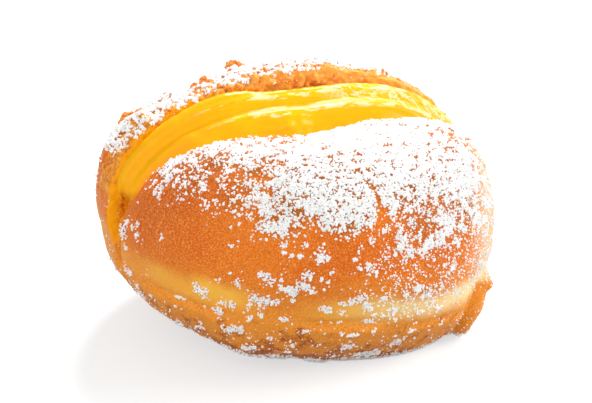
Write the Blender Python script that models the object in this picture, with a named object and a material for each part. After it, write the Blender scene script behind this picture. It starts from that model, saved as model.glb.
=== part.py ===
"""A custard-filled doughnut: a fried ball of dough, slit across its top and filled with ridged egg custard.

Lengths are in metres and +Z is up. +X runs along the doughnut's width and +Y to its back. The origin is on the
surface that the doughnut rests on, under the middle of its box. The slit crosses the top almost along X, and both
of its ends run down the sides. The doughnut has rolled a little onto its +X side, as a soft round ball does.
"""

import math

import bmesh
import bpy
from mathutils import Matrix, Vector, noise

MM = 0.001
UP = Vector((0, 0, 1))

# The uncut ball of dough, about its own middle
HALF_WIDTH = 49.5 * MM
HALF_DEPTH = 45 * MM
DOME_HEIGHT = 36 * MM
BASE_HEIGHT = 34.3 * MM
PLAN_POWER = 2.1  # 2 is an ellipse, and more is squarer
DOME_POWER = 2.1
BASE_POWER = 2.5
ROLL = math.radians(7)
MIDDLE_HEIGHT = 31.7 * MM
BALL_DETAIL = 5
REFINED_SLIT_REACH = 0.16  # as a share of the ball's radius

# The pale belt that never dipped into the oil is a shallow waist under the ball's widest line
BELT_DROP = 9 * MM
BELT_HALF_HEIGHT = 5 * MM
BELT_DEPTH = 1.0 * MM

# Slow swells and hollows of a hand-shaped ball: direction, reach in degrees, and swell
LUMPS = (
    ((0.82, -0.15, -0.58), 28, 5.0 * MM),  # the cheek that the doughnut has rolled onto
    ((-0.75, -0.30, -0.60), 34, -3.2 * MM),  # the side lifted off the surface
    ((-0.62, 0.30, 0.72), 36, -4.2 * MM),  # the low left shoulder of the back lip
    ((0.85, -0.05, 0.50), 32, 3.6 * MM),  # the full right shoulder
    ((0.10, -0.85, 0.10), 40, 1.2 * MM),  # the full front of the dome
    ((0.10, -0.62, -0.78), 26, -0.9 * MM),  # the front of the underside, which rises off the surface
)
WOBBLE = 0.9 * MM
WOBBLE_SIZE = 34 * MM
WOBBLE_SHIFT = Vector((3.1, 7.4, 1.9))

# The slit: an upright knife cut, turned a little from X and set forward of the middle, gaping at the top
SLIT_TURN = math.radians(20)
SLIT_FORWARD = 6 * MM
SLIT_BOW = 1.5 * MM
SLIT_BOTTOM = 26 * MM
SLIT_BOTTOM_SLOPE = 0.06
SLIT_MOUTH_HEIGHT = 66 * MM
SLIT_HALF_GAP = 6.2 * MM
SLIT_HALF_GAP_AT_BOTTOM = 0.8 * MM
SLIT_GAP_POWER = 0.7
SLIT_HALF_LENGTH = 75 * MM
SLIT_REACH_ABOVE = 30 * MM
SLIT_STEPS = (16, 1, 10)  # along, across and up

# The front lip has slumped and its edge rolls down into the slit. A range is of a direction's rise, from 0 to 1
SLUMP = 13.3 * MM
SLUMP_REACH = 22 * MM
SLUMP_RISE_RANGE = (0.0, 0.75)
SLUMP_MIDDLE = 2 * MM  # along the slit
SLUMP_HALF_LENGTH = 40 * MM
ROLLED_EDGE = 3.0 * MM
ROLLED_EDGE_REACH = 9 * MM
ROLLED_EDGE_RISE_RANGE = (-0.1, 0.3)

# The back lip's torn edge stands up in crags
CRAG = 1.3 * MM
CRAG_SIZE = 5 * MM
BACK_EDGE_DROP = 1.8 * MM
BACK_EDGE_REACH = 8 * MM
BACK_EDGE_RISE_RANGE = (-0.1, 0.4)

# A fold of the brown underside stands off the side that the doughnut leans on
FOLD_PLACE = Vector((46.6, -11.0, 9.6)) * MM
FOLD_HALF_SIZE = Vector((2.1, 7.5, 9.6)) * MM
FOLD_LEAN = math.radians(25)
FOLD_TURN = math.radians(-22)
FOLD_TAPER = 0.45
FOLD_DETAIL = 3

# The custard ribbon in the slit
CLEARANCE = 0.4 * MM
CUSTARD_TURN = math.radians(-3.5)  # it runs further down the slit's left end than its right
CUSTARD_HALF_ANGLE = math.radians(91.5)
CUSTARD_BOTTOM_LIFT = 2 * MM
CUSTARD_BOTTOM_HALF_LENGTH = 39 * MM
CUSTARD_BELOW_BACK_LIP = 3.0 * MM
CUSTARD_FALL_TO_FRONT = 12.5 * MM
CUSTARD_FALL_POWER = 1.5  # 1 is a straight slope, and more falls mostly near the front lip
CUSTARD_FALL_FADE = 0.8  # how soon the fall fades towards the ends
CUSTARD_END_RISE = 1.5 * MM
RIDGE_HEIGHT = 0.8 * MM
RIDGE_SPACING = 0.84  # as a share of half the slit's gap
RIDGE_CREST = 0.67
CUSTARD_STEPS = (36, 14, 3)  # along, across and down
HALVINGS = 30  # enough to find a place on the skin to within a nanometre

DOUGH_COLOUR = (0.62, 0.19, 0.035, 1)
CUSTARD_COLOUR = (1.0, 0.56, 0.005, 1)

BALL_MIDDLE = Vector((0, 0, MIDDLE_HEIGHT))
ROLLED = Matrix.Rotation(ROLL, 3, "Y")
UNROLLED = ROLLED.inverted()
SLIT_ALONG = Vector((math.cos(SLIT_TURN), math.sin(SLIT_TURN), 0))
SLIT_ACROSS = Vector((-math.sin(SLIT_TURN), math.cos(SLIT_TURN), 0))
SLIT_MIDDLE = -SLIT_FORWARD * SLIT_ACROSS


def clear_scene():
    for item in list(bpy.data.objects):
        bpy.data.objects.remove(item)


def new_collection(name):
    made = bpy.data.collections.new(name)
    bpy.context.scene.collection.children.link(made)
    return made


def new_material(name, colour, roughness):
    """A plain glossy or matt finish with no metal in it."""
    made = bpy.data.materials.new(name)
    made.use_nodes = True
    shader = made.node_tree.nodes["Principled BSDF"]
    shader.inputs["Base Color"].default_value = colour
    shader.inputs["Roughness"].default_value = roughness
    shader.inputs["Metallic"].default_value = 0
    return made


def smoothstep(value, start, end):
    share = min(1, max(0, (value - start) / (end - start)))
    return share * share * (3 - 2 * share)


def bell(value, reach):
    return math.exp(-((value / reach) ** 2))


def slit_bow(along):
    """How far the slit's middle line bows forward at this place along it."""
    return -SLIT_BOW * math.cos(math.pi * along / (2 * HALF_WIDTH))


def slit_place(point):
    """(along, across) of a point: across is 0 on the slit's middle line, and positive behind it."""
    flat = Vector((point.x, point.y, 0)) - SLIT_MIDDLE
    along = flat.dot(SLIT_ALONG)
    return along, flat.dot(SLIT_ACROSS) - slit_bow(along)


def slit_point(along, across, height):
    return SLIT_MIDDLE + SLIT_ALONG * along + SLIT_ACROSS * (across + slit_bow(along)) + UP * height


def slit_bottom(along):
    return SLIT_BOTTOM + SLIT_BOTTOM_SLOPE * along


def half_gap(height, along):
    """Half the slit's width: nothing much at its bottom, widest at its mouth, with walls that curve."""
    share = max(0, (height - slit_bottom(along)) / (SLIT_MOUTH_HEIGHT - slit_bottom(along)))
    return SLIT_HALF_GAP_AT_BOTTOM + (SLIT_HALF_GAP - SLIT_HALF_GAP_AT_BOTTOM) * share**SLIT_GAP_POWER


def plain_radius(direction):
    """The uncut ball's radius along a unit direction: a squarish ellipsoid, lumps, waist and wobble."""
    x, y, z = UNROLLED @ direction
    plan = (abs(x / HALF_WIDTH) ** PLAN_POWER + abs(y / HALF_DEPTH) ** PLAN_POWER) ** (1 / PLAN_POWER)
    height, power = (DOME_HEIGHT, DOME_POWER) if z > 0 else (BASE_HEIGHT, BASE_POWER)
    radius = (plan**power + abs(z / height) ** power) ** (-1 / power)
    for towards, reach, swell in LUMPS:
        angle = direction.angle(Vector(towards))
        radius += swell * bell(angle, math.radians(reach))
    radius -= BELT_DEPTH * bell(radius * z + BELT_DROP, BELT_HALF_HEIGHT)
    return radius + WOBBLE * noise.noise(direction * (radius / WOBBLE_SIZE) + WOBBLE_SHIFT)


def skin_radius(direction):
    """The cut ball's radius: the front lip is slumped and rolled, and the back lip's edge is craggy."""
    radius = plain_radius(direction)
    place = BALL_MIDDLE + direction * radius
    along, across = slit_place(place)
    if across < 0:
        top = smoothstep(direction.z, *SLUMP_RISE_RANGE)
        radius -= SLUMP * top * bell(across, SLUMP_REACH) * bell(along - SLUMP_MIDDLE, SLUMP_HALF_LENGTH)
        upper = smoothstep(direction.z, *ROLLED_EDGE_RISE_RANGE)
        return radius - ROLLED_EDGE * upper * bell(across, ROLLED_EDGE_REACH)
    edge = bell(across, BACK_EDGE_REACH) * smoothstep(direction.z, *BACK_EDGE_RISE_RANGE)
    return radius + (CRAG * noise.noise(place / CRAG_SIZE) - BACK_EDGE_DROP) * edge


def skin_point(direction):
    """A point of the dough's outside, pressed flat where it rests."""
    place = BALL_MIDDLE + direction * skin_radius(direction)
    place.z = max(place.z, 0)
    return place


def mesh_object(name, shape, collection, smooth=True):
    mesh = bpy.data.meshes.new(name)
    shape.to_mesh(mesh)
    shape.free()
    for face in mesh.polygons:
        face.use_smooth = smooth
    made = bpy.data.objects.new(name, mesh)
    collection.objects.link(made)
    return made


def make_ball(collection):
    """A ball of near-equal triangles, finer beside the slit, with each corner moved out to the dough's skin."""
    shape = bmesh.new()
    bmesh.ops.create_icosphere(shape, subdivisions=BALL_DETAIL, radius=1)
    offset = SLIT_FORWARD / HALF_DEPTH

    def beside_slit(corner):
        return abs(corner.co.dot(SLIT_ACROSS) + offset) < REFINED_SLIT_REACH and corner.co.z > 0

    edges = [e for e in shape.edges if all(beside_slit(c) for c in e.verts)]
    bmesh.ops.subdivide_edges(shape, edges=edges, cuts=1, use_grid_fill=True)
    bmesh.ops.triangulate(shape, faces=shape.faces[:])
    for corner in shape.verts:
        corner.co = skin_point(corner.co.normalized())
    return mesh_object("dough", shape, collection)


def make_fold(collection):
    """The fold is a thin leaf, thick at its root and tapering to its tip."""
    shape = bmesh.new()
    bmesh.ops.create_icosphere(shape, subdivisions=FOLD_DETAIL, radius=1)
    turned = Matrix.Rotation(FOLD_TURN, 3, "Z") @ Matrix.Rotation(FOLD_LEAN, 3, "Y")
    for corner in shape.verts:
        taper = 1 - FOLD_TAPER * corner.co.z
        sized = Vector(
            (
                corner.co.x * FOLD_HALF_SIZE.x * taper,
                corner.co.y * FOLD_HALF_SIZE.y * taper,
                corner.co.z * FOLD_HALF_SIZE.z,
            )
        )
        corner.co = FOLD_PLACE + turned @ sized
    return as_helper(mesh_object("fold", shape, collection))


def mapped_block(name, steps, place, collection):
    """A cube cut into steps along, across and down. Each corner moves to place(u, v, w), which run from -1 to 1."""
    shape = bmesh.new()
    bmesh.ops.create_cube(shape, size=2)
    for axis, count in enumerate(steps):
        for step in range(1, count):
            plane = Vector((0, 0, 0))
            plane[axis] = -1 + 2 * step / count
            normal = Vector((0, 0, 0))
            normal[axis] = 1
            cut = shape.verts[:] + shape.edges[:] + shape.faces[:]
            bmesh.ops.bisect_plane(shape, geom=cut, plane_co=plane, plane_no=normal)
    for corner in shape.verts:
        corner.co = place(*corner.co)
    bmesh.ops.recalc_face_normals(shape, faces=shape.faces[:])
    return mesh_object(name, shape, collection)


def as_helper(item):
    item.hide_render = True
    item.display_type = "WIRE"
    return item


def make_slit_cutter(collection):
    def place(u, v, w):
        along = u * SLIT_HALF_LENGTH
        low = slit_bottom(along)
        height = low + (w + 1) / 2 * (SLIT_MOUTH_HEIGHT + SLIT_REACH_ABOVE - low)
        return slit_point(along, v * half_gap(height, along), height)

    return as_helper(mapped_block("slit_cutter", SLIT_STEPS, place, collection))


def ball_reach(angle):
    """How far the uncut skin is from the slit's middle, at this angle from upright in the slit's plane."""
    start = slit_point(0, 0, MIDDLE_HEIGHT)
    towards = SLIT_ALONG * math.sin(angle) + UP * math.cos(angle)
    near, far = 0.0, 2 * HALF_WIDTH
    for _ in range(HALVINGS):
        middle = (near + far) / 2
        arm = start + towards * middle - BALL_MIDDLE
        if arm.length < plain_radius(arm.normalized()):
            near = middle
        else:
            far = middle
    return near


def custard_level(angle, v):
    """How far the custard reaches from the slit's middle: below the back lip, falling forward in ridges."""
    end = abs(angle - CUSTARD_TURN) / CUSTARD_HALF_ANGLE
    fall = CUSTARD_FALL_TO_FRONT * ((1 - v) / 2) ** CUSTARD_FALL_POWER * math.cos(CUSTARD_FALL_FADE * angle)
    ridge = RIDGE_HEIGHT * math.cos(2 * math.pi * (v - RIDGE_CREST) / RIDGE_SPACING)
    rise = CUSTARD_END_RISE * end**2
    return ball_reach(angle) - CUSTARD_BELOW_BACK_LIP - fall + rise + ridge * (1 - end**4)


def make_custard(collection):
    def place(u, v, w):
        angle = CUSTARD_TURN + u * CUSTARD_HALF_ANGLE
        outer = custard_level(angle, v)
        bottom_along = u * CUSTARD_BOTTOM_HALF_LENGTH
        bottom_height = slit_bottom(bottom_along) + CUSTARD_BOTTOM_LIFT
        share = (w + 1) / 2
        along = bottom_along + (outer * math.sin(angle) - bottom_along) * share
        height = bottom_height + (MIDDLE_HEIGHT + outer * math.cos(angle) - bottom_height) * share
        return slit_point(along, v * (half_gap(height, along) - CLEARANCE), height)

    return mapped_block("custard", CUSTARD_STEPS, place, collection)


def add_boolean(item, other, operation):
    modifier = item.modifiers.new(other.name, "BOOLEAN")
    modifier.operation = operation
    modifier.object = other


def box_middle(item):
    """The middle of an object's mesh box, seen from above."""
    xs = [corner.co.x for corner in item.data.vertices]
    ys = [corner.co.y for corner in item.data.vertices]
    return Vector(((min(xs) + max(xs)) / 2, (min(ys) + max(ys)) / 2, 0))


def build():
    clear_scene()
    doughnut = new_collection("Custard doughnut")
    helpers = new_collection("Cutters")
    dough = make_ball(doughnut)
    fold = make_fold(helpers)
    cutter = make_slit_cutter(helpers)
    custard = make_custard(doughnut)
    add_boolean(dough, fold, "UNION")
    add_boolean(dough, cutter, "DIFFERENCE")
    dough.data.materials.append(new_material("fried_dough", DOUGH_COLOUR, 0.45))
    custard.data.materials.append(new_material("egg_custard", CUSTARD_COLOUR, 0.25))
    origin = bpy.data.objects.new("doughnut_origin", None)
    doughnut.objects.link(origin)
    origin.location = -box_middle(dough)
    for item in (dough, fold, cutter, custard):
        item.parent = origin


build()
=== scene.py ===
# %% [markdown]
# # A custard doughnut under icing sugar
#
# This lesson dresses a fixed model of a filled doughnut. The model has two solids, the fried dough and the
# custard in its slit. They are right in size and place, but plain. Each gets a finer copy with a baker's
# details, and then thousands of grains of icing sugar fall on it.
#
# We start by loading the model, and we note its box before anything is added.

# %% Load the fixed model
import math

import bpy
import numpy as np
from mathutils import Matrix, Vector, noise
from mathutils.bvhtree import BVHTree


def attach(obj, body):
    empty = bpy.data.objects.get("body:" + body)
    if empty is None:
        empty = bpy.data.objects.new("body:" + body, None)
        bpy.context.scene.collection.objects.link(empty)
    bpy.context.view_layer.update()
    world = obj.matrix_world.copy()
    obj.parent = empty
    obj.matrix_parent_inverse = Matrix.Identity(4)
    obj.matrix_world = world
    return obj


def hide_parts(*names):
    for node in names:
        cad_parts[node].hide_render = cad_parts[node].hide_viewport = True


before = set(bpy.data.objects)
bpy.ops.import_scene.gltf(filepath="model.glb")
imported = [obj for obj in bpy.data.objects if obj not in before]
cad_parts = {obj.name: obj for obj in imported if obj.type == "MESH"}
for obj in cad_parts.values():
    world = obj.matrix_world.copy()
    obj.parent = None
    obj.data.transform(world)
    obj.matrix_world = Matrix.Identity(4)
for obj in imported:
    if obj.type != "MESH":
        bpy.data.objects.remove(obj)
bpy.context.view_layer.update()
MM = 0.001


# %% [markdown]
# ## The camera and the light
#
# A doughnut like this is shown on a white table from a little above. A long lens half a metre away keeps
# its round shape true. The table and the world are white to the camera only, so that they add no light of
# their own. A small lamp behind and above picks out the custard's wet crests, and two wide ones fill in
# the right and the front.

# %% The camera
CAMERA_DISTANCE = 0.50
CAMERA_RISE = math.radians(22)
LENS = 121
SENSOR_WIDTH = 36
SHIFT_RIGHT = 0.00169
SHIFT_UP = -0.00845
LOOK_AT = Vector((0, 0, 0.0335))

camera_data = bpy.data.cameras.new("camera")
camera_data.lens = LENS
camera_data.sensor_width = SENSOR_WIDTH
camera_data.shift_x = SHIFT_RIGHT
camera_data.shift_y = SHIFT_UP
camera_data.clip_start = 0.01
camera = bpy.data.objects.new("camera", camera_data)
bpy.context.scene.collection.objects.link(camera)
towards_camera = Vector((0, -math.cos(CAMERA_RISE), math.sin(CAMERA_RISE)))
camera.location = LOOK_AT + towards_camera * CAMERA_DISTANCE
camera.rotation_euler = (-towards_camera).to_track_quat("-Z", "Y").to_euler()
bpy.context.scene.camera = camera
bpy.context.scene.view_settings.view_transform = "Standard"
print("camera at", [round(c, 3) for c in camera.location])


# %% Colours and nodes
def linear(hex_colour):
    """An sRGB hex colour, such as "d97a2b", as the linear values that shaders use."""
    values = [int(hex_colour[i : i + 2], 16) / 255 for i in (0, 2, 4)]
    return tuple(v / 12.92 if v <= 0.04045 else ((v + 0.055) / 1.055) ** 2.4 for v in values) + (1,)


def node(tree, kind, settings=None, **links):
    """Adds a node. Settings are its own properties, and links feed its inputs, with values or other sockets."""
    made = tree.nodes.new(kind)
    for name, value in (settings or {}).items():
        setattr(made, name, value)
    for name, value in links.items():
        key = int(name[1:]) if name[0] == "i" and name[1:].isdigit() else name.replace("_", " ")
        if isinstance(value, bpy.types.NodeSocket):
            tree.links.new(value, made.inputs[key])
        else:
            made.inputs[key].default_value = value
    return made


def new_material(name):
    made = bpy.data.materials.new(name)
    made.use_nodes = True
    made.node_tree.nodes.clear()
    return made, made.node_tree


def looked_at(tree):
    """1 where the camera, a gloss or clear matter looks, and 0 for all other light."""
    path = node(tree, "ShaderNodeLightPath")
    looked = node(tree, "ShaderNodeMath", {"operation": "MAXIMUM"}, i0=path.outputs["Is Camera Ray"],
                  i1=path.outputs["Is Glossy Ray"])
    looked = node(tree, "ShaderNodeMath", {"operation": "MAXIMUM"}, i0=looked.outputs[0],
                  i1=path.outputs["Is Transmission Ray"])
    return looked.outputs[0]


# %% The white world and the table
WORLD_LIGHT = 0.42
TABLE_SIZE = 3
TABLE_WHITE = (0.50, 0.535, 0.545, 1)
TABLE_LIFT = 0.60

world = bpy.data.worlds.new("white_room")
world.use_nodes = True
bpy.context.scene.world = world
world.node_tree.nodes.clear()
tree = world.node_tree
room_light = node(tree, "ShaderNodeBackground", Color=(1, 1, 1, 1), Strength=WORLD_LIGHT)
room_white = node(tree, "ShaderNodeBackground", Color=(1, 1, 1, 1), Strength=1.0)
room = node(tree, "ShaderNodeMixShader", i0=looked_at(tree), i1=room_light.outputs[0], i2=room_white.outputs[0])
node(tree, "ShaderNodeOutputWorld", Surface=room.outputs[0])

bpy.ops.mesh.primitive_plane_add(size=TABLE_SIZE, location=(0, 0, 0))
table = bpy.context.object
table.name = "table"
table_paint, tree = new_material("white_table")
shade = node(tree, "ShaderNodeBsdfDiffuse", Color=TABLE_WHITE)
glow = node(tree, "ShaderNodeMath", {"operation": "MULTIPLY"}, i0=looked_at(tree), i1=TABLE_LIFT)
lift = node(tree, "ShaderNodeEmission", Color=(1, 1, 1, 1), Strength=glow.outputs[0])
lifted = node(tree, "ShaderNodeAddShader", i0=shade.outputs[0], i1=lift.outputs[0])
node(tree, "ShaderNodeOutputMaterial", Surface=lifted.outputs[0])
table.data.materials.append(table_paint)

# %% The lamps
LAMPS = (
    # name, place, size in metres, watts
    ("back_top", (0.05, 0.38, 0.55), 0.16, 4.0),
    ("right_fill", (0.60, 0.04, 0.36), 0.45, 3.4),
    ("front_left", (-0.26, -0.62, 0.34), 0.60, 2.6),
)
for name, place, size, watts in LAMPS:
    lamp_data = bpy.data.lights.new(name, "AREA")
    lamp_data.energy = watts
    lamp_data.size = size
    lamp = bpy.data.objects.new(name, lamp_data)
    bpy.context.scene.collection.objects.link(lamp)
    lamp.location = place
    lamp.rotation_euler = (Vector(place) - LOOK_AT).to_track_quat("Z", "Y").to_euler()
print(len(LAMPS), "lamps")

# %% [markdown]
# ## Finding our way round the doughnut
#
# Every detail is placed from the slit or from the pale belt. The slit's line is worked out from the
# custard, which fills it: the longest direction of its plan is "along", and "across" is square to it,
# positive at the back. The belt is the ring that never dipped into the oil. It leans a little, because the
# ball has rolled.


# %% The slit's own directions
def corners(item):
    """A mesh's corners as rows of x, y and z."""
    found = np.empty(len(item.data.vertices) * 3, dtype=np.float32)
    item.data.vertices.foreach_get("co", found)
    return found.reshape(-1, 3).astype(float)


custard_corners = corners(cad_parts["custard"])
plan = custard_corners[:, :2]
SLIT_MIDDLE = (plan.min(axis=0) + plan.max(axis=0)) / 2
along_direction = np.linalg.svd(plan - plan.mean(axis=0), full_matrices=False)[2][0]
ALONG = along_direction * np.sign(along_direction[0])
ACROSS = np.array((-ALONG[1], ALONG[0]))
custard_along = (plan - SLIT_MIDDLE) @ ALONG
custard_across = (plan - SLIT_MIDDLE) @ ACROSS
BOW = np.polyfit(custard_along, custard_across, 2)
SLIT_LENGTH = np.ptp(custard_along)
slit_turn = math.degrees(math.atan2(ALONG[1], ALONG[0]))
print("slit turned", round(slit_turn, 1), "degrees,", round(SLIT_LENGTH / MM), "mm long")


def slit_places(points):
    """How far along and across the slit each point is."""
    flat = points[:, :2] - SLIT_MIDDLE
    along = flat @ ALONG
    return along, flat @ ACROSS - np.polyval(BOW, along)


BELT_HEIGHT = 23.6 * MM
BELT_LEAN = 0.15


def belt_heights(points):
    """How far each point is above the middle of the pale belt."""
    return points[:, 2] - BELT_HEIGHT + BELT_LEAN * points[:, 0]


def ramp(values, start, end):
    """0 before start, 1 after end, and a smooth rise between them."""
    share = np.clip((values - start) / (end - start), 0, 1)
    return share * share * (3 - 2 * share)


def bell(values, reach):
    """1 at 0, and less and less on both sides of it."""
    return np.exp(-((values / reach) ** 2))


def around(points, middle, reach):
    """A bell round a place. The place and the reach are in mm."""
    return bell(np.linalg.norm(points - np.array(middle) * MM, axis=1), reach * MM)


def wobble(points, size, shift=0.0):
    """Smooth noise from about -1 to 1, whose swells are as wide as size."""
    place = Vector((shift, shift * 1.7, -shift))
    return np.array([noise.noise(Vector(p) / size + place) for p in points]) * 1.6


# %% [markdown]
# ## A finer copy of each solid
#
# The solids are made of large flat triangles. A copy is merged, remeshed into a fine even grid and
# smoothed, which also rounds the slit's edges as dough does. The solids themselves are never touched.


# %% Copying a solid as a fine mesh
def only(item):
    """Deselects everything, then selects this object and makes it the active one."""
    bpy.ops.object.select_all(action="DESELECT")
    item.select_set(True)
    bpy.context.view_layer.objects.active = item


def apply_all(item):
    only(item)
    for modifier in list(item.modifiers):
        bpy.ops.object.modifier_apply(modifier=modifier.name)


def fine_copy(node_name, name, voxel, smoothing):
    """A remeshed and smoothed copy of a CAD solid."""
    only(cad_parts[node_name])
    bpy.ops.object.duplicate()
    made = bpy.context.object
    made.name = name
    made.data.name = name
    made.data.materials.clear()
    bpy.ops.object.mode_set(mode="EDIT")
    bpy.ops.mesh.select_all(action="SELECT")
    bpy.ops.mesh.remove_doubles(threshold=0.01 * MM)
    bpy.ops.object.mode_set(mode="OBJECT")
    remesh = made.modifiers.new("remesh", "REMESH")
    remesh.mode = "VOXEL"
    remesh.voxel_size = voxel
    smooth = made.modifiers.new("smooth", "SMOOTH")
    smooth.factor = 0.5
    smooth.iterations = smoothing
    apply_all(made)
    only(made)
    bpy.ops.object.shade_smooth()
    return made


def normals_of(item):
    found = np.empty(len(item.data.vertices) * 3, dtype=np.float32)
    item.data.vertices.foreach_get("normal", found)
    return found.reshape(-1, 3).astype(float)


def set_corners(item, points):
    item.data.vertices.foreach_set("co", points.astype(np.float32).ravel())
    item.data.update()


def triangles_of(item):
    item.data.calc_loop_triangles()
    found = np.empty(len(item.data.loop_triangles) * 3, dtype=np.int32)
    item.data.loop_triangles.foreach_get("vertices", found)
    return found.reshape(-1, 3)


def set_attribute(item, name, values):
    """Keeps a number at each corner of the mesh, for the materials to read."""
    made = item.data.attributes.new(name, "FLOAT", "POINT")
    made.data.foreach_set("value", np.asarray(values, dtype=np.float32))


def attribute_of(item, name):
    found = np.empty(len(item.data.vertices), dtype=np.float32)
    item.data.attributes[name].data.foreach_get("value", found)
    return found


DOUGH_VOXEL = 0.8 * MM
CUSTARD_VOXEL = 0.42 * MM

dough = fine_copy("dough", "fried_dough", DOUGH_VOXEL, smoothing=4)
print("dough:", len(dough.data.vertices), "corners")

# %% The slit's back edge in finer steps
FINE_REACH = 15 * MM
FINE_ABOVE = 25 * MM


def refine_back_edge(item):
    """Cuts the faces beside the slit, where the crust is torn, into quarters."""
    points = corners(item)
    across = slit_places(points)[1]
    near = (across > -1 * MM) & (across < FINE_REACH) & (points[:, 2] > FINE_ABOVE)
    only(item)
    bpy.ops.object.mode_set(mode="EDIT")
    bpy.ops.mesh.select_mode(type="VERT")
    bpy.ops.mesh.select_all(action="DESELECT")
    bpy.ops.object.mode_set(mode="OBJECT")
    item.data.vertices.foreach_set("select", near)
    bpy.ops.object.mode_set(mode="EDIT")
    bpy.ops.mesh.select_mode(type="FACE")
    bpy.ops.mesh.subdivide(number_cuts=1)
    bpy.ops.object.mode_set(mode="OBJECT")


refine_back_edge(dough)
print("dough:", len(dough.data.vertices), "corners after the finer edge")

# %% [markdown]
# ## Where the icing sugar lies
#
# The sugar was sifted from above, after the filling. It lies thick on the back half and on the right of
# the front, thin towards the left, and hangs in clumps on the belt. Each soft spot below has a middle, a
# reach and an amount.

# %% The sugar's spots
SUGAR_SPOTS = (
    # middle in mm, reach in mm, amount from 0 to 1
    ((10, -27, 56), 17, 1.0),
    ((24, -22, 55), 19, 1.0),
    ((11, -38, 48), 9, 1.0),
    ((2, -37, 50), 9, 0.95),
    ((36, -19, 49), 14, 0.9),
    ((40, -22, 43), 13, 0.66),
    ((32, -32, 42), 11, 0.6),
    ((34, -30, 34), 9, 0.42),
    ((44, -16, 36), 11, 0.45),
    ((-8, -27, 55), 12, 0.72),
    ((-18, -27, 53), 10, 0.6),
    ((-27, -24, 50), 9, 0.56),
    ((-12, -37, 50), 9, 0.52),
    ((-3, -41, 46), 8, 0.62),
    ((-23, -31, 50), 8, 0.48),
)
LIP_PLACE = -9.5 * MM
LIP_REACH = 4 * MM
BARE_EDGE = 7.2 * MM
SLIT_REACH = 6.4 * MM


def sugar_amounts(points, normals):
    """How thickly the sugar lies at each point, from 0 to 1."""
    along, across = slit_places(points)
    up = normals[:, 2]
    front = np.zeros(len(points))
    for middle, reach, amount in SUGAR_SPOTS:
        distance = np.linalg.norm(points - np.array(middle) * MM, axis=1)
        front = np.maximum(front, amount * np.exp(-((distance / (reach * MM)) ** 3)))
    lip = bell(across - LIP_PLACE, LIP_REACH) * ramp(along, -36 * MM, -26 * MM) * ramp(up, 0.2, 0.5)
    front = np.maximum(front, (0.6 + 0.3 * ramp(along, -8 * MM, 4 * MM)) * lip)
    back = ramp(up, -0.1, 0.55) * (0.35 + 0.65 * ramp(points[:, 2], 40 * MM, 58 * MM))
    # The torn edge itself is bare
    bare_to = BARE_EDGE + 1 * MM * ramp(along, 4 * MM, 16 * MM) - 2 * MM * ramp(-along, 20 * MM, 27 * MM)
    low_left = ramp(-points[:, 0], 35 * MM, 41 * MM) * ramp(-points[:, 2], -52 * MM, -46 * MM)
    back = back * (1 - 0.9 * low_left)
    back = back * ramp(across + 0.7 * MM * wobble(points, 3 * MM, 83.0), bare_to, bare_to + 1 * MM)
    amount = np.where(across > 0, back, front)
    in_slit = (np.abs(across) < SLIT_REACH) & (points[:, 2] > 26 * MM)
    wall = np.abs(normals[:, :2] @ ACROSS) > 0.75
    return np.where(in_slit & wall, 0, amount)


# %% [markdown]
# ## The crust
#
# Fried dough is lumpy on a slow scale. Along the back of the slit it was torn, so it stands up in crags,
# and its wall shows the open crumb. The front edge is smooth, but its skin is gathered in fine wrinkles at
# the left. Where sugar lies thick, it lifts the surface a little. All of these move the mesh along its own
# normals.

# %% Shaping the crust
BULGES = (
    # middle in mm, reach in mm, how far out in mm
    ((42, -2, 51), 10, 1.6),
    ((-46, -6, 49), 9, 1.2),
    ((18, 12, 65), 9, -1.7),
    ((-32, 2, 60), 6, -1.4),
    ((24, -31, 6), 8, -1.2),
    ((-12, -36, 7), 9, 1.2),
    ((45, -12, 8), 6, 1.1),
)
CREASES = (
    # from and to along the width in mm, how far below the belt in mm, depth in mm
    (3, 20, 3.6, 1.1),
    (-36, -16, 5.5, 0.7),
    (26, 40, 5.4, 0.5),
)
CREASE_END = 3
FOLD_POINT = (47.8, -12.5, 15.2)
ABOVE_FOLD = (47.8, -12.5, 18.6)
WRINKLE_WIDTH = 1.9 * MM


def slit_walls(points, normals):
    """The slit's back wall, its front wall and the torn edge behind it, each from 0 to 1."""
    across = slit_places(points)[1]
    facing = normals[:, :2] @ ACROSS
    at_slit = ramp(points[:, 2], 24 * MM, 32 * MM)
    back_wall = ramp(-facing, 0.35, 0.7) * ramp(across, 0.5 * MM, 2 * MM)
    back_wall *= ramp(-across, -9.5 * MM, -7.5 * MM) * at_slit
    front_wall = ramp(facing, 0.35, 0.7) * ramp(-across, 0.5 * MM, 2 * MM)
    front_wall *= ramp(across, -8 * MM, -6 * MM) * at_slit
    back_edge = bell(np.maximum(across - 6 * MM, 0), 7 * MM) * (across > 0)
    back_edge *= ramp(points[:, 2], 34 * MM, 48 * MM)
    return back_wall, front_wall, back_edge


def sunken_lip(points, along, across):
    """How far the front lip sank under the knife, in mm."""
    up = points[:, 2]
    along_lip = 1.0 * ramp(up, 48 * MM, 54 * MM) * ramp(along, -26 * MM, -14 * MM)
    in_middle = 1.2 * ramp(up, 46 * MM, 52 * MM) * bell(along + 7 * MM, 10 * MM)
    return bell(across + 12 * MM, 6.5 * MM) * (along_lip + in_middle)


def creases(points):
    """Grooves where the belt folds over the underside, each with a swelling below it, in mm."""
    width = points[:, 0]
    height = belt_heights(points) + 0.9 * MM * wobble(points, 11 * MM, 31.0)
    move = np.zeros(len(points))
    for start, end, drop, depth in CREASES:
        inside = ramp(width, (start - CREASE_END) * MM, (start + CREASE_END) * MM)
        inside *= 1 - ramp(width, (end - CREASE_END) * MM, (end + CREASE_END) * MM)
        inside *= points[:, 1] < 0
        line = height + drop * MM
        move += depth * inside * (0.5 * bell(line + 2.2 * MM, 1.4 * MM) - bell(line, 1.0 * MM))
    return move


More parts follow.
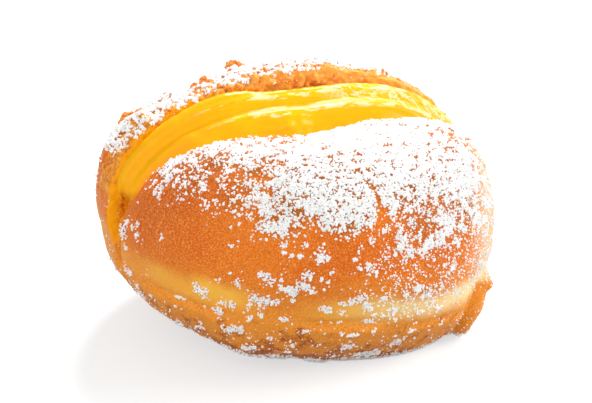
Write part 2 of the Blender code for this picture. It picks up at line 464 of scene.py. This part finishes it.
def lower_fold(points):
    """The fold at the lower right is parted from the belly by a groove, and ends in a point. In mm."""
    edge = points[:, 0] - 40.9 * MM - 0.35 * (points[:, 2] - 7 * MM)
    low_front = ramp(-points[:, 1], 6 * MM, 10 * MM) * (1 - ramp(points[:, 2], 16 * MM, 19 * MM))
    low_front *= ramp(points[:, 0], 36 * MM, 39 * MM)
    move = low_front * (0.5 * bell(edge - 2.4 * MM, 1.3 * MM) - 0.9 * bell(edge, 0.8 * MM))
    return move + 1.5 * around(points, FOLD_POINT, 1.7) - 1.2 * around(points, ABOVE_FOLD, 2.2)


def left_crease(points, along, across):
    """The ragged crease that runs on from the slit's left end, from 0 to 1."""
    line = across - 0.2 * MM * wobble(points, 4 * MM, 41.0)
    crease = bell(line, 1.3 * MM) * ramp(-along, 34 * MM, 38 * MM)
    return crease * ramp(points[:, 2], 12 * MM, 18 * MM) * (1 - ramp(points[:, 2], 27 * MM, 31 * MM))


def shape_crust(item):
    """Moves the dough's corners, and notes at each one what the crust is like there."""
    points, normals = corners(item), normals_of(item)
    along, across = slit_places(points)
    up = points[:, 2]
    back_wall, front_wall, back_edge = slit_walls(points, normals)
    grain = wobble(points, 2.6 * MM, 5.0)
    fine = wobble(points, 1.1 * MM, 9.0)
    crags = np.abs(wobble(points, 3.4 * MM, 13.0))
    ragged = np.abs(wobble(points, 1.9 * MM, 15.0))
    pits = np.maximum(wobble(points, 2.2 * MM, 17.0) - 0.35, 0)
    move = 0.22 * wobble(points, 9 * MM, 2.0) + 0.07 * grain
    for middle, reach, out in BULGES:
        move += out * around(points, middle, reach)
    # The back edge is torn, most of all in the middle of its length
    rougher = 1 - 0.6 * ramp(along, 6 * MM, 16 * MM) - 0.5 * ramp(-along, 20 * MM, 30 * MM)
    move += rougher * back_edge * (1.2 * crags - 0.3 + 0.35 * fine - 0.9 * pits)
    move += rougher * back_wall * (0.55 * ragged - 0.2 + 0.2 * fine - 0.5 * pits)
    move += 0.35 * front_wall * grain
    # Here and there along the back edge a bigger scrap of crust stands up
    scraps = np.maximum(wobble(points, 6 * MM, 71.0) - 0.15, 0) * bell(across - 10 * MM, 4.5 * MM)
    move += 2.2 * scraps * ramp(up, 44 * MM, 54 * MM)
    move -= sunken_lip(points, along, across)
    # Fine wrinkles run beside the slit at the left of the front lip
    wrinkled = ramp(-along, 16 * MM, 30 * MM) * bell(across + 14 * MM, 7 * MM) * ramp(up, 30 * MM, 38 * MM)
    wave = np.cos(2 * math.pi * (across + 0.6 * MM * wobble(points, 7 * MM, 21.0)) / WRINKLE_WIDTH)
    move += 0.3 * wrinkled * wave
    move += creases(points) + lower_fold(points) - 1.1 * left_crease(points, along, across)
    move += ramp(-belt_heights(points), 5 * MM, 9 * MM) * (0.25 * crags - 0.1)
    # Thick sugar lifts the surface, and the flat spot that the ball rests on stays flat
    sugar = sugar_amounts(points, normals)
    move += 0.3 * ramp(sugar + 0.22 * grain + 0.12 * fine, 0.55, 0.85)
    move *= ramp(up, 0.3 * MM, 2.5 * MM)
    shaped = points + normals * (move * MM)[:, None]
    shaped[:, 2] = np.maximum(shaped[:, 2], 0)
    set_corners(item, shaped)
    bare_crags = ramp(wobble(points, 3.6 * MM, 61.0) + 0.5 * fine, 0.25, 0.6) * (across > 0)
    bare_crags *= bell(across - 9 * MM, 7 * MM) * ramp(up, 36 * MM, 46 * MM)
    bare_crags *= 1 - 0.7 * ramp(along, 2 * MM, 12 * MM)
    set_attribute(item, "sugar", sugar)
    set_attribute(item, "crumb", np.maximum(back_wall, 0.6 * front_wall))
    set_attribute(item, "bare", bare_crags)
    set_attribute(item, "soaked", back_wall * ramp(-along, 16 * MM, 26 * MM))
    set_attribute(item, "tan", 0.4 * ramp(along, -16 * MM, -8 * MM) + 0.6 * ramp(along, 0 * MM, 12 * MM))
    set_attribute(item, "torn", np.maximum(bare_crags, back_edge * ramp(-across, -11 * MM, -8.5 * MM)))
    set_attribute(item, "wrinkled", wrinkled)
    # The grooves of the wrinkles, which get painted shade
    set_attribute(item, "furrow_shade", wrinkled * ramp(-wave, -0.1, 0.8))


shape_crust(dough)
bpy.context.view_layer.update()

# %% [markdown]
# ## The custard
#
# Baker's custard holds the shape of the knife and the nozzle. Two crests run the length of the slit, with
# finer lines between them, and a puckered skin crosses the right-hand end. Its sides move out by 0.65 mm,
# so that it meets the dough's walls.

# %% Shaping the custard
custard = fine_copy("custard", "egg_custard", CUSTARD_VOXEL, smoothing=6)
# Each crest's place across the slit, from -1 at the front wall to 1 at the back
CRESTS = (0.74, -0.28, -1.05)
CREST_WIDTH = 0.15
COMB_WIDTH = 0.21
FEATHER_WIDTH = 1.6 * MM
SIDE_PRESS = 0.65 * MM
# Middles and reaches in mm
DOLLOP, DOLLOP_REACH = (-0.5, -9.3, 55.6), (4.2, 2.6, 2.2)
END_GAP, END_GAP_REACH = (-42.2, -19.1, 38.8), (1.5, 1.8, 3.8)


def egg(points, middle, reach):
    """A bell round a place, with its own reach in x, y and z. All in mm."""
    return bell(np.linalg.norm((points / MM - np.array(middle)) / reach, axis=1), 1)


def shape_custard(item):
    """Moves the custard's corners, and notes at each one what its skin is like there."""
    points, normals = corners(item), normals_of(item)
    along, across = slit_places(points)
    width_fit = np.polyfit(custard_along, np.abs(custard_across - np.polyval(BOW, custard_along)), 4)
    half_width = np.maximum(np.polyval(width_fit, along), 3 * MM) * 1.15
    place = across / half_width
    top = ramp(points[:, 2], 24 * MM, 30 * MM)
    plain = 1 - 0.85 * ramp(-along, 12 * MM, 30 * MM)
    drift = 0.07 * wobble(points * np.array((1, 0.3, 0.3)), 14 * MM, 3.0)
    fine = wobble(points, 1.3 * MM, 7.0)
    move = np.zeros(len(points))
    for crest in CRESTS:
        ragged = 0.8 + 0.35 * wobble(points, 4 * MM, 29.0 + crest)
        move += 0.65 * plain * ragged * np.exp(-np.abs(place - crest - drift) / CREST_WIDTH)
    move += 0.06 * plain * np.cos(2 * math.pi * (place + drift) / COMB_WIDTH)
    pucker = ramp(along, 6 * MM, 20 * MM) * ramp(place, -0.1, 0.2)
    slant = 0.6 * along + across + 0.9 * MM * wobble(points, 5 * MM, 19.0)
    feather = np.abs(np.sin(math.pi * slant / FEATHER_WIDTH))
    move += pucker * 0.34 * (1 - feather) ** 2 * (0.6 + 0.6 * wobble(points, 3 * MM, 37.0))
    move += 0.03 * fine + 0.12 * wobble(points, 5 * MM, 23.0)
    move += egg(points, DOLLOP, DOLLOP_REACH) * (1.5 + 0.35 * wobble(points, 2.4 * MM, 43.0))
    move += 0.9 * ramp(place, 0.3, 0.9) * ramp(-along, 8 * MM, 20 * MM)
    move -= 1.3 * ramp(place, 0.8, 1.2) * ramp(along, -16 * MM, -4 * MM)
    # The left end is torn and sags away from the front lip
    torn_end = ramp(-along, 30 * MM, 35 * MM) * ramp(-points[:, 2], -44 * MM, -40 * MM)
    move += torn_end * (0.4 * np.abs(wobble(points, 1.6 * MM, 47.0)) - 0.5)
    gap = egg(points, END_GAP, END_GAP_REACH)
    move -= 2.2 * gap
    # The sides press against the dough
    sideways = np.sign(across) * ramp(np.abs(place), 0.55, 0.95) * SIDE_PRESS
    shaped = points + normals * (move * top * MM)[:, None]
    shaped[:, :2] += sideways[:, None] * ACROSS
    set_corners(item, shaped)
    set_attribute(item, "along", along / MM)
    set_attribute(item, "across", across / MM)
    # Where the crests catch the light, for a painted highlight
    crest_highlight_at = np.max([np.exp(-np.abs(place - c - drift) / 0.13) for c in CRESTS[:2]], axis=0)
    set_attribute(item, "crest", crest_highlight_at * (0.35 + 0.65 * ramp(along, -34 * MM, 0 * MM)) * top)
    # Where the puckered skin gets painted highlights
    set_attribute(item, "highlight_net", ramp(along, 3 * MM, 16 * MM) * ramp(place, -0.4, 0.0) * top)
    set_attribute(item, "torn_end", np.maximum(torn_end, gap))
    set_attribute(item, "left_end", ramp(-along, 12 * MM, 32 * MM))
    # The hollows and the edges get painted shade
    from_crest = np.min([np.abs(place - c - drift) for c in CRESTS], axis=0)
    set_attribute(item, "hollow_shade", ramp(from_crest, 0.05, 0.38))
    set_attribute(item, "edge", ramp(np.abs(place), 0.75, 1.0))


shape_custard(custard)
print("custard:", len(custard.data.vertices), "corners")

# %% [markdown]
# ## Icing sugar
#
# Icing sugar falls as a fine powder that clots into rough grains and lumps. Each grain is a dented
# 20-sided ball. Each layer has a few such shapes, and every grain is one of them, stretched, turned and
# sized at random. The seed is fixed, so each run makes the same grains.

# %% A few grain shapes
SEED = 20
SHAPES = 8
rng = np.random.default_rng(SEED)


def grain_shapes(detail, dent):
    """Dented little balls: rows of corners, and the faces that they share."""
    bpy.ops.object.select_all(action="DESELECT")
    bpy.ops.mesh.primitive_ico_sphere_add(subdivisions=detail, radius=1)
    ball = bpy.context.object
    base = corners(ball)
    faces = np.array([list(face.vertices) for face in ball.data.polygons])
    bpy.data.objects.remove(ball)
    shapes = [base * (1 + dent * rng.uniform(-1, 1, (len(base), 1))) for _ in range(SHAPES)]
    return np.array(shapes), faces


def random_turns(count):
    """Turns that are spread evenly over all directions, as 3 x 3 tables."""
    q = rng.normal(size=(count, 4))
    q /= np.linalg.norm(q, axis=1)[:, None]
    w, x, y, z = q.T
    return np.stack([
        np.stack([1 - 2 * (y * y + z * z), 2 * (x * y - z * w), 2 * (x * z + y * w)], axis=1),
        np.stack([2 * (x * y + z * w), 1 - 2 * (x * x + z * z), 2 * (y * z - x * w)], axis=1),
        np.stack([2 * (x * z - y * w), 2 * (y * z + x * w), 1 - 2 * (x * x + y * y)], axis=1),
    ], axis=1)


def grains(name, places, sizes, detail=1, dent=0.3):
    """One mesh of many grains. Sizes are radii in metres."""
    shapes, faces = grain_shapes(detail, dent)
    count = len(places)
    chosen = shapes[rng.integers(0, SHAPES, count)]
    stretch = rng.uniform(0.7, 1.3, (count, 1, 3))
    turned = np.einsum("nij,nkj->nki", random_turns(count), chosen * stretch)
    points = turned * sizes[:, None, None] + places[:, None, :]
    points[:, :, 2] = np.maximum(points[:, :, 2], 0.02 * MM)
    corner_count = shapes.shape[1]
    all_faces = faces[None] + (np.arange(count) * corner_count)[:, None, None]
    mesh = bpy.data.meshes.new(name)
    mesh.from_pydata(points.reshape(-1, 3).tolist(), [], all_faces.reshape(-1, 3).tolist())
    made = bpy.data.objects.new(name, mesh)
    bpy.context.scene.collection.objects.link(made)
    print(name, count, "grains,", len(mesh.polygons), "triangles")
    return made


# %% Random places on the crust
crust_points = corners(dough)
crust_normals = normals_of(dough)
crust_triangles = triangles_of(dough)
sugar_at = attribute_of(dough, "sugar")
bare_at = attribute_of(dough, "bare")
edge_1 = crust_points[crust_triangles[:, 1]] - crust_points[crust_triangles[:, 0]]
edge_2 = crust_points[crust_triangles[:, 2]] - crust_points[crust_triangles[:, 0]]
crust_areas = np.linalg.norm(np.cross(edge_1, edge_2), axis=1) / 2
print("crust area in square cm:", round(crust_areas.sum() * 1e4, 1))


def scatter(weights, count):
    """Random places on the crust, and its normals there. Weights are for each corner."""
    chances = crust_areas * weights[crust_triangles].mean(axis=1)
    chosen = crust_triangles[rng.choice(len(chances), count, p=chances / chances.sum())]
    share = rng.dirichlet((1, 1, 1), count)[:, :, None]
    places = (crust_points[chosen] * share).sum(axis=1)
    facing = (crust_normals[chosen] * share).sum(axis=1)
    return places, facing / np.linalg.norm(facing, axis=1)[:, None]


# %% The sifted layer
clumping = 0.42 * wobble(crust_points, 1.7 * MM, 51.0) + 0.2 * wobble(crust_points, 5.5 * MM, 57.0)
sifted = ramp(sugar_at + clumping * (1.05 - 0.5 * sugar_at), 0.42, 0.74)
gaps = ramp(wobble(crust_points, 1.3 * MM, 67.0), 0.08, 0.4)
sifted *= 1 - 0.95 * gaps
sifted += 0.05 * ramp(sugar_at, 0.1, 0.5)
sifted *= 1 - 0.9 * bare_at
on_front = slit_places(crust_points)[1] < 0


def layer(name, weights, count, smallest, largest, lift):
    """Scatters grains whose widths in mm go from smallest to largest. Lift is in radii."""
    places, facing = scatter(weights, count)
    sizes = rng.uniform(smallest, largest, count) * MM / 2
    return grains(name, places + facing * (sizes * lift)[:, None], sizes)


LAYERS = (
    # piece, where, grains, smallest and largest in mm, lift
    ("icing_sugar_front", on_front, 9900, 0.36, 0.8, 0.25),
    ("icing_sugar_front_more", on_front, 4500, 0.36, 0.8, 0.25),
    ("icing_sugar_front_fine", on_front, 7000, 0.28, 0.6, 0.6),
    ("icing_sugar_back", ~on_front, 9900, 0.5, 1.1, 0.25),
    ("icing_sugar_back_fine", ~on_front, 2600, 0.3, 0.6, 0.6),
)
sugar_pieces = []
for name, where, count, smallest, largest, lift in LAYERS:
    sugar_pieces.append(layer(name, sifted * where, count, smallest, largest, lift))

# %% Clumps and loose grains
CLUMP_SPOTS = (
    # middle in mm, spread in mm, clumps
    ((-5, -45, 33), 4, 9),
    ((6, -45, 33), 5, 12),
    ((16, -43, 32), 4, 7),
    ((-6, -44, 25), 4, 9),
    ((2, -43, 26), 5, 6),
    ((10, -42, 21), 6, 9),
    ((30, -34, 21), 6, 9),
    ((25, -38, 37), 2, 4),
    ((-20, -40, 22), 7, 8),
    ((-30, -33, 20), 6, 8),
    ((0, -38, 13), 9, 14),
    ((18, -34, 10), 9, 10),
    ((-6, -34, 1.5), 3, 7),
    ((5, -33, 1), 3, 7),
    ((14, -32, 1.5), 3, 5),
    ((-16, -34, 12), 7, 10),
    ((-41, -25, 32), 4, 6),
    ((-37, -27, 22), 5, 8),
    ((0, 44, 30), 20, 22),
    ((44, 8, 30), 14, 10),
    ((-42, 14, 28), 14, 10),
)
crust_tree = BVHTree.FromPolygons([Vector(p) for p in crust_points], crust_triangles.tolist())


def on_crust(place):
    """The nearest place on the crust, and the way out there."""
    found, facing, _, _ = crust_tree.find_nearest(Vector(place))
    return np.array(found), np.array(facing)


def clumps():
    """Lumps of a few dozen grains that cling to the crust."""
    places, sizes = [], []
    for middle, spread, count in CLUMP_SPOTS:
        for _ in range(count):
            heart = np.array(middle) * MM + rng.normal(0, spread * MM, 3)
            reach = rng.uniform(0.25, 0.95) ** 1.3 * MM
            for _ in range(int(8 + 55 * (reach / MM) ** 2)):
                place, facing = on_crust(heart + rng.normal(0, reach, 3))
                size = rng.uniform(0.15, 0.35) * MM
                places.append(place + facing * rng.uniform(0, 0.7) * min(reach, 0.7 * MM))
                sizes.append(size)
    return np.array(places), np.array(sizes)


clump_places, clump_sizes = clumps()
sugar_pieces.append(grains("icing_sugar_clumps", clump_places, clump_sizes))

# Single grains cling below the sifted layer, most of all on the right and round the foot
BARE_PATCH, BARE_REACH = (-26, -38, 40), 17
width, depth, up = crust_points.T
loose = 0.18 * (crust_normals[:, 2] > -0.5) + 0.9 * ramp(-belt_heights(crust_points), 3 * MM, 12 * MM)
loose += 5.5 * ramp(width, 13 * MM, 26 * MM) * ramp(up, 13 * MM, 21 * MM) * (depth < 6 * MM)
loose *= 1 - 0.93 * around(crust_points, BARE_PATCH, BARE_REACH)
loose *= (0.3 + np.maximum(clumping, 0) * 2.5) * (up > 0.5 * MM) * (1 - 0.8 * sugar_at)
loose += 9 * ramp(-up, -3.2 * MM, -1 * MM) * (up > 0.2 * MM) * (depth < 0)
sugar_pieces.append(layer("icing_sugar_loose", loose, 9600, 0.2, 0.56, 0.3))

# %% [markdown]
# Scraps of crust broke off when the slit was cut. They lie in the sugar on the back lip.

# %% Crumbs and flakes
CURL = (
    # place in mm, radius in mm: lumps that join in a curl of crust, hooked on the lip
    ((-17.3, 11, 64.0), 0.45),
    ((-16.7, 11, 64.7), 0.62),
    ((-15.9, 11, 65.2), 0.70),
    ((-15.0, 11, 65.4), 0.75),
    ((-14.2, 11, 65.0), 0.80),
    ((-13.5, 11, 64.3), 0.72),
    ((-13.3, 11, 63.5), 0.5),
)
FLAKES = (
    # place in mm, radius in mm: bigger scraps that lie on the crust
    ((-16, 8, 63), 0.7),
    ((-41.5, 0.6, 53.7), 1.2),
    ((-40.2, -1.2, 55), 1.1),
    ((-38.4, -2.6, 56), 0.8),
    ((-42.3, 0, 52), 0.8),
    ((-24.6, -0.2, 62.4), 1.0),
    ((-22.2, 1.3, 62.9), 1.1),
    ((-20.5, -1.5, 63.5), 0.8),
    ((-18.5, -4, 64), 0.8),
    ((8.5, 4.5, 64.5), 0.6),
)
SMALL_CRUMBS = 110


def crumb_places():
    """Where the crumbs lie, and their radii."""
    places = [np.array(place) * MM for place, _ in CURL]
    sizes = [size * MM for _, size in CURL]
    for middle, size in FLAKES:
        place, facing = on_crust(np.array(middle) * MM)
        places.append(place + facing * 0.5 * size * MM)
        sizes.append(size * MM)
    more, facing = scatter(bare_at + 1e-6, SMALL_CRUMBS)
    more_sizes = rng.uniform(0.2, 0.5, len(more)) * MM
    more = more + facing * (0.4 * more_sizes)[:, None]
    return np.vstack((places, more)), np.concatenate((sizes, more_sizes))


crumbs = grains("crust_crumbs", *crumb_places(), detail=2, dent=0.2)


# %% [markdown]
# ## The materials
#
# Fried dough is browned by the oil: deep orange brown on the dome, pale gold on the belt and browner below
# it. It's matt with a soft sheen of fat, and its skin is full of tiny blisters.

# %% Fried dough
CRUST_BROWN = "e9750f"
CRUST_DEEP = "dd6409"
CRUST_RED = "d4632a"
CRUST_SPECK = "ffb25c"
# The crust's dark pits, and also the painted shade in the wrinkles' grooves
CRUST_PIT_AND_SHADE = "b9530f"
BELT_GOLD = "ffbf45"
BELT_PALE = "ffe4a8"
FLAP_BROWN = "e8861c"
DOME_GOLD = "f09432"
# The pale belt, and a painted sheen of light on the right side
SIDE_PALE_AND_SHEEN = "fdd3a6"
# Painted shade for the crust under thick sugar
SHADE_UNDER_SUGAR = "8f4c16"
UNDER_GOLD = "f0932c"
UNDER_BROWN = "a8440e"
CRUMB_ORANGE = "faaa46"
CRUMB_DARK = "da7a22"
CRUMB_SOAKED = "ffa800"
CRUMB_TAN = "ffab4c"
SUGAR_WHITE = "fbfaf8"
SUGAR_COOL = "fbfbfa"


def mix(tree, share, first, second):
    return node(tree, "ShaderNodeMix", {"data_type": "RGBA"}, i0=share, i6=first, i7=second).outputs[2]


def mix_value(tree, share, first, second):
    return node(tree, "ShaderNodeMix", {"data_type": "FLOAT"}, i0=share, i2=first, i3=second).outputs[0]


def curve(tree, value, start, end, low=0.0, high=1.0):
    """A smooth rise from low to high as the value goes from start to end."""
    made = node(tree, "ShaderNodeMapRange", {"interpolation_type": "SMOOTHSTEP"}, Value=value, From_Min=start,
                From_Max=end, To_Min=low, To_Max=high)
    return made.outputs[0]


def maths(tree, operation, first, second=0.0):
    return node(tree, "ShaderNodeMath", {"operation": operation}, i0=first, i1=second).outputs[0]


def plus(tree, first, second):
    return maths(tree, "ADD", first, second)


def minus(tree, first, second):
    return maths(tree, "SUBTRACT", first, second)


def times(tree, first, second):
    return maths(tree, "MULTIPLY", first, second)


def larger(tree, first, second):
    return maths(tree, "MAXIMUM", first, second)


def speckle(tree, place, size, detail=2.0, roughness=0.5):
    """Noise whose swells are about as wide as size, in metres."""
    made = node(tree, "ShaderNodeTexNoise", Vector=place, Scale=1 / size, Detail=detail, Roughness=roughness)
    return made.outputs["Fac"]


def stored(tree, name):
    return node(tree, "ShaderNodeAttribute", {"attribute_name": name}).outputs["Fac"]


def make_fried_dough():
    """Dough fried in fat: matt, blistered, coloured by how long the oil touched it, and with painted shade and
    sheen.
    """
    made, tree = new_material("fried_dough_crust")
    place = node(tree, "ShaderNodeTexCoord").outputs["Object"]
    parts = node(tree, "ShaderNodeSeparateXYZ", Vector=place)
    x, z = parts.outputs["X"], parts.outputs["Z"]
    patches = speckle(tree, place, 19 * MM, 2)
    mottle = speckle(tree, place, 2.6 * MM, 4, 0.65)
    specks = speckle(tree, place, 0.36 * MM, 3, 0.7)
    pits = speckle(tree, place, 0.48 * MM, 3, 0.6)
    # Height above the belt's middle, in mm, with a wavering edge
    height = plus(tree, z, times(tree, x, BELT_LEAN))
    height = times(tree, minus(tree, height, BELT_HEIGHT), 1 / MM)
    wander = times(tree, minus(tree, patches, 0.5), 5.0)
    wander = plus(tree, wander, times(tree, minus(tree, mottle, 0.5), 3.0))
    height = plus(tree, height, wander)
    dome = mix(tree, curve(tree, patches, 0.38, 0.66), linear(CRUST_BROWN), linear(CRUST_DEEP))
    dome = mix(tree, times(tree, stored(tree, "wrinkled"), 0.7), dome, linear(CRUST_RED))
    dome = mix(tree, curve(tree, mottle, 0.50, 0.68, 0, 0.25), dome, linear(CRUST_RED))
    # Painted shade in the grooves of the wrinkles
    dome = mix(tree, times(tree, stored(tree, "furrow_shade"), 0.45), dome, linear(CRUST_PIT_AND_SHADE))
    # The underside is streaked with brown, more and more towards the table
    streaks = times(tree, minus(tree, speckle(tree, place, 3.6 * MM, 4, 0.65), 0.5), 2.6)
    browning = plus(tree, times(tree, height, -1 / 22), streaks)
    under = mix(tree, curve(tree, browning, 0.42, 0.95), linear(UNDER_GOLD), linear(UNDER_BROWN))
    fold_line = minus(tree, x, times(tree, z, 0.35))
    flap = times(tree, curve(tree, fold_line, 0.0383, 0.0391), curve(tree, z, 0.0180, 0.0160))
    pale = mix(tree, curve(tree, x, 0.004, 0.040), linear(BELT_GOLD), linear(BELT_PALE))
    in_belt = times(tree, curve(tree, height, -5.5, -0.8), curve(tree, height, 4.8, 0.5))
    in_belt = times(tree, in_belt, curve(tree, patches, 0.70, 0.45, 0.65, 1.0))
    # The belt shows at the left and the right, and hardly in the middle
    at_left = times(tree, curve(tree, x, -0.006, -0.016, 0.15, 1.0), curve(tree, x, -0.040, -0.031, 0.3, 1.0))
    at_right = curve(tree, x, -0.001, 0.012, 0.15, 1.0)
    in_belt = times(tree, in_belt, larger(tree, at_left, at_right))
    warm = times(tree, curve(tree, height, 13.0, 1.0), curve(tree, x, -0.010, 0.010, 0.2, 0.6))
    dome = mix(tree, warm, dome, linear(DOME_GOLD))
    colour = mix(tree, curve(tree, height, -5.0, 1.0), under, dome)
    # Painted shade: the crust is darker where sugar lies thick, as if the grains shade it
    shade_under_sugar = curve(tree, stored(tree, "sugar"), 0.25, 0.8, 0, 0.8)
    colour = mix(tree, shade_under_sugar, colour, linear(SHADE_UNDER_SUGAR))
    # The right side is painted paler: partly its pale belt, partly a painted sheen of the light from the right
    at_side = times(tree, curve(tree, x, 0.0405, 0.0480), curve(tree, z, 0.014, 0.020))
    colour = mix(tree, times(tree, at_side, 0.8), colour, linear(SIDE_PALE_AND_SHEEN))
    colour = mix(tree, in_belt, colour, pale)
    colour = mix(tree, flap, colour, linear(FLAP_BROWN))
    # Tiny blisters are lighter on top, and the pits between them darker
    colour = mix(tree, curve(tree, specks, 0.49, 0.62, 0, 0.62), colour, linear(CRUST_SPECK))
    pitted = times(tree, curve(tree, pits, 0.53, 0.66, 0, 0.5), minus(tree, 1.0, in_belt))
    colour = mix(tree, pitted, colour, linear(CRUST_PIT_AND_SHADE))
    pores = curve(tree, speckle(tree, place, 1.4 * MM, 3, 0.7), 0.40, 0.58)
    torn = mix(tree, pores, linear(CRUMB_DARK), linear(CRUMB_ORANGE))
    torn = mix(tree, times(tree, stored(tree, "tan"), 0.8), torn, linear(CRUMB_TAN))
    torn = mix(tree, stored(tree, "soaked"), torn, linear(CRUMB_SOAKED))
    crumb = larger(tree, stored(tree, "crumb"), stored(tree, "torn"))
    colour = mix(tree, curve(tree, crumb, 0.25, 0.7), colour, torn)
    rough = plus(tree, 0.45, times(tree, mottle, 0.2))
    relief = times(tree, specks, 0.6)
    bump = node(tree, "ShaderNodeBump", Strength=0.35, Distance=0.35 * MM, Height=relief)
    shader = node(tree, "ShaderNodeBsdfPrincipled", Base_Color=colour, Roughness=rough, Normal=bump.outputs[0],
                  IOR=1.46, Specular_IOR_Level=0.16, Subsurface_Weight=0.1, Subsurface_Scale=1.5 * MM,
                  Subsurface_Radius=(1.0, 0.45, 0.2))
    node(tree, "ShaderNodeOutputMaterial", Surface=shader.outputs[0])
    return made


dough.data.materials.append(make_fried_dough())

# %% [markdown]
# Egg custard is smooth and wet. It's a deep clear yellow, more orange at the soaked left end, with an uneven
# gloss. Its hollows and edges are painted more orange as shade, and its crests and threads pale as highlights.

# %% Egg custard
CUSTARD_YELLOW = "ffc000"
# The soaked left end's own orange, and the painted shade in the hollows and along the edges
CUSTARD_DEEP_AND_SHADE = "ffaa00"
CUSTARD_LIGHT = "ffd20a"
# The painted highlight on the crests and the threads
CUSTARD_HIGHLIGHT = "fff0b4"
CUSTARD_CRUMB = "f8a818"
CUSTARD_TORN = "d97b10"


def make_custard():
    """Wet egg custard, with painted highlights on crests and threads, painted shade in hollows, and a soaked
    left end.
    """
    made, tree = new_material("egg_custard_wet")
    place = node(tree, "ShaderNodeTexCoord").outputs["Object"]
    clouds = speckle(tree, place, 7 * MM, 3)
    grain = speckle(tree, place, 1.2 * MM, 3, 0.6)
    # Painted shade: more orange in the hollows between the crests and along the edges by the walls; the left
    # end's orange is its own colour
    deep = times(tree, stored(tree, "hollow_shade"), 0.25)
    deep = larger(tree, deep, times(tree, stored(tree, "left_end"), 0.55))
    deep = larger(tree, deep, times(tree, stored(tree, "edge"), 0.5))
    colour = mix(tree, deep, linear(CUSTARD_YELLOW), linear(CUSTARD_DEEP_AND_SHADE))
    colour = mix(tree, curve(tree, clouds, 0.5, 0.75, 0, 0.5), colour, linear(CUSTARD_LIGHT))
    rough = mix_value(tree, stored(tree, "left_end"), 0.10, 0.36)
    rough = plus(tree, rough, times(tree, clouds, 0.18))
    # Fine combed lines run along the slit, and break its gloss
    along, across = stored(tree, "along"), stored(tree, "across")
    combing = node(tree, "ShaderNodeCombineXYZ", X=times(tree, along, 0.17), Y=times(tree, across, 1.3))
    lines = speckle(tree, combing.outputs[0], 1.0, 4, 0.65)
    # Painted highlight: the crests are painted pale in broken lines, as glints of the wet gloss
    crest_highlight = times(tree, stored(tree, "crest"), curve(tree, lines, 0.40, 0.60, 0.15, 1.0))
    colour = mix(tree, curve(tree, crest_highlight, 0.30, 0.65, 0, 0.85), colour, linear(CUSTARD_HIGHLIGHT))
    # Painted highlights: a net of pale threads, glints where the skin puckered, also set in the bump
    slanted = times(tree, plus(tree, along, times(tree, across, 1.2)), 0.22)
    netting = node(tree, "ShaderNodeCombineXYZ", X=slanted, Y=times(tree, across, 0.55))
    net = maths(tree, "ABSOLUTE", minus(tree, speckle(tree, netting.outputs[0], 1.0, 4, 0.6), 0.5))
    pucker_threads_and_glints = times(tree, curve(tree, net, 0.045, 0.012), stored(tree, "highlight_net"))
    colour = mix(tree, times(tree, pucker_threads_and_glints, 0.8), colour, linear(CUSTARD_HIGHLIGHT))
    pores = curve(tree, speckle(tree, place, 1.0 * MM, 4, 0.7), 0.42, 0.6)
    torn = mix(tree, pores, linear(CUSTARD_TORN), linear(CUSTARD_CRUMB))
    colour = mix(tree, stored(tree, "torn_end"), colour, torn)
    lines = mix_value(tree, stored(tree, "left_end"), lines, 0.5)
    relief = plus(tree, times(tree, lines, 1.5), times(tree, grain, 0.35))
    relief = plus(tree, relief, times(tree, pucker_threads_and_glints, 0.8))
    torn_pores = times(tree, pores, stored(tree, "torn_end"))
    relief = plus(tree, relief, times(tree, torn_pores, 1.2))
    bump = node(tree, "ShaderNodeBump", Strength=0.35, Distance=0.3 * MM, Height=relief)
    shader = node(tree, "ShaderNodeBsdfPrincipled", Base_Color=colour, Roughness=rough, Normal=bump.outputs[0],
                  IOR=1.42, Specular_IOR_Level=0.22, Subsurface_Weight=0.15, Subsurface_Scale=2 * MM,
                  Subsurface_Radius=(1.0, 0.7, 0.2))
    node(tree, "ShaderNodeOutputMaterial", Surface=shader.outputs[0])
    return made


custard.data.materials.append(make_custard())

# %% [markdown]
# Icing sugar is a matt white that scatters light inside each grain.

# %% Icing sugar
def make_icing_sugar():
    made, tree = new_material("icing_sugar_powder")
    place = node(tree, "ShaderNodeTexCoord").outputs["Object"]
    swells = curve(tree, speckle(tree, place, 5 * MM), 0.35, 0.65)
    tint = mix(tree, swells, linear(SUGAR_WHITE), linear(SUGAR_COOL))
    shader = node(tree, "ShaderNodeBsdfPrincipled", Base_Color=tint, Roughness=0.85, IOR=1.5,
                  Subsurface_Weight=0.1, Subsurface_Scale=1 * MM, Subsurface_Radius=(1, 1, 1))
    node(tree, "ShaderNodeOutputMaterial", Surface=shader.outputs[0])
    return made


icing_sugar = make_icing_sugar()
for piece in sugar_pieces:
    piece.data.materials.append(icing_sugar)


# %% Fried crumbs
def make_crumb():
    """Scraps of crust and crumb, browned in the oil."""
    made, tree = new_material("fried_crumb")
    place = node(tree, "ShaderNodeTexCoord").outputs["Object"]
    pores = speckle(tree, place, 0.8 * MM, 3, 0.7)
    colour = mix(tree, curve(tree, pores, 0.38, 0.6), linear(CRUST_DEEP), linear(CRUMB_ORANGE))
    bump = node(tree, "ShaderNodeBump", Strength=0.4, Distance=0.3 * MM, Height=pores)
    shader = node(tree, "ShaderNodeBsdfPrincipled", Base_Color=colour, Roughness=0.65, Normal=bump.outputs[0])
    node(tree, "ShaderNodeOutputMaterial", Surface=shader.outputs[0])
    return made


crumbs.data.materials.append(make_crumb())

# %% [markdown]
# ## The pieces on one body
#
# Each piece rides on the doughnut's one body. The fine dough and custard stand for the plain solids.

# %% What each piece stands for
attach(dough, "root")
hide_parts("dough")
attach(custard, "root")
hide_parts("custard")
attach(crumbs, "root")
for piece in sugar_pieces:
    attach(piece, "root")
